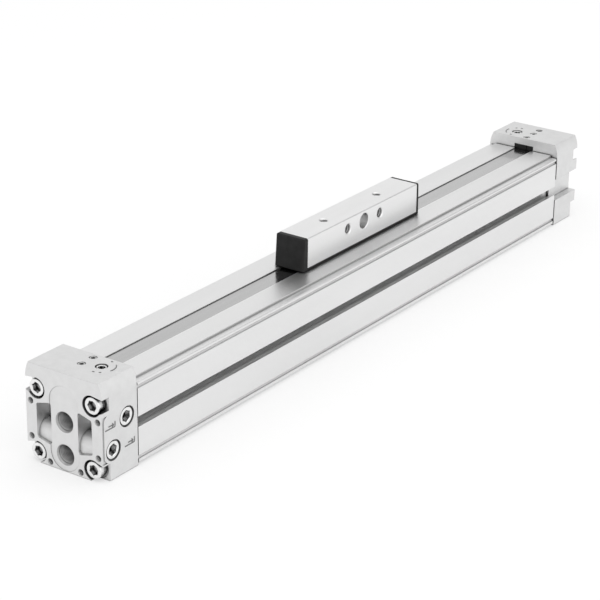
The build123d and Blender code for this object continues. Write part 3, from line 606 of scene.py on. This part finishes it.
# Studio: a white floor that keeps the shadow, white surroundings, and soft lamps. "gloss" is how
# bright the surroundings are in a reflection, and each dark card there has a direction, the
# cosines at which it starts and is full, and how much it takes away.
studio = {"floorSize": 12.0, "floorColour": 0.8, "shadowShare": 0.45, "ambient": 0.9, "gloss": 0.93,
          "cards": [{"towards": (0.754, -0.387, 0.530), "start": 0.90, "full": 0.97, "share": 0.5},
                    {"towards": (-0.387, 0.530, 0.754), "start": 0.92, "full": 0.98, "share": 0.4}]}
white = (1, 1, 1, 1)
lamps = [
    {"name": "overhead", "at": (-0.25, 0.15, 1.1), "aim": (0, 0, 0.03), "size": 1.6, "power": 1.5},
    {"name": "frontRight", "at": (0.1, -1.1, 0.7), "aim": (0, 0, 0.03), "size": 2.2, "power": 4.5},
]


# 1 where something is seen directly or in gloss or glass, 0 for all other light
def seenDirectly(tree):
    path = addNode(tree, "ShaderNodeLightPath").outputs
    return mathNode(tree, "MAXIMUM", path["Is Camera Ray"],
                    mathNode(tree, "MAXIMUM", path["Is Glossy Ray"], path["Is Transmission Ray"]))


def makeWorld():
    world = bpy.data.worlds.new("studioWorld")
    bpy.context.scene.world = world
    world.use_nodes = True
    tree = world.node_tree
    path = addNode(tree, "ShaderNodeLightPath").outputs
    towards = addNode(tree, "ShaderNodeTexCoord").outputs["Generated"]
    gloss = studio["gloss"]
    for card in studio["cards"]:
        across = vectorNode(tree, "DOT_PRODUCT", towards, card["towards"])
        gloss = mathNode(tree, "MULTIPLY", gloss, spread(tree, across, card["start"], card["full"],
                                                         1.0, 1 - card["share"]))
    seen = spread(tree, path["Is Camera Ray"], 0.0, 1.0, gloss, 1.0)
    level = spread(tree, seenDirectly(tree), 0.0, 1.0, studio["ambient"], seen)
    background = tree.nodes["Background"]
    background.inputs["Color"].default_value = white
    tree.links.new(level, background.inputs["Strength"])


def makeFloor():
    half = studio["floorSize"] / 2
    mesh = bpy.data.meshes.new("floor")
    mesh.from_pydata([(-half, -half, 0), (half, -half, 0), (half, half, 0), (-half, half, 0)], [],
                     [(0, 1, 2, 3)])
    floor = bpy.data.objects.new("floor", mesh)
    bpy.context.scene.collection.objects.link(floor)
    paper = bpy.data.materials.new("floorPaper")
    paper.use_nodes = True
    tree = paper.node_tree
    tree.nodes.clear()
    level = studio["floorColour"]
    matt = addNode(tree, "ShaderNodeBsdfDiffuse", {"Color": (level, level, level, 1)})
    shade = addNode(tree, "ShaderNodeBsdfDiffuse", {"Color": white})
    glow = addNode(tree, "ShaderNodeEmission", {"Color": white, "Strength": 1.0})
    seen = addNode(tree, "ShaderNodeMixShader", {0: studio["shadowShare"], 1: glow.outputs[0],
                                                 2: shade.outputs[0]})
    both = addNode(tree, "ShaderNodeMixShader", {0: seenDirectly(tree), 1: matt.outputs[0],
                                                 2: seen.outputs[0]})
    addNode(tree, "ShaderNodeOutputMaterial", {"Surface": both.outputs[0]})
    mesh.materials.append(paper)


def makeLamps():
    for lamp in lamps:
        light = bpy.data.lights.new(lamp["name"], "AREA")
        light.shape = "DISK"
        light.size = lamp["size"]
        light.energy = lamp["power"]
        holder = bpy.data.objects.new(lamp["name"], light)
        bpy.context.scene.collection.objects.link(holder)
        holder.location = lamp["at"]
        aim = Vector(lamp["aim"]) - Vector(lamp["at"])
        holder.rotation_euler = aim.to_track_quat("-Z", "Y").to_euler()


# The photograph's view: where the camera stands, which way it looks and its lens
view = {"at": (-0.87434, -0.59139, 0.45486), "right": (0.57885, -0.81537, 0.01066),
        "up": (0.31031, 0.23235, 0.92180), "back": (-0.75408, -0.53027, 0.38751),
        "lens": 131.68, "sensor": 36.0, "clip": (0.05, 20.0)}


def makeCamera():
    camera = bpy.data.cameras.new("camera")
    camera.sensor_width = view["sensor"]
    camera.lens = view["lens"]
    camera.clip_start, camera.clip_end = view["clip"]
    holder = bpy.data.objects.new("camera", camera)
    bpy.context.scene.collection.objects.link(holder)
    turn = Matrix((view["right"], view["up"], view["back"])).transposed().to_4x4()
    holder.matrix_world = Matrix.Translation(view["at"]) @ turn
    bpy.context.scene.camera = holder


makeWorld()
makeFloor()
makeLamps()
makeCamera()
bpy.context.scene.view_settings.view_transform = "Standard"
print("studio and camera in place")
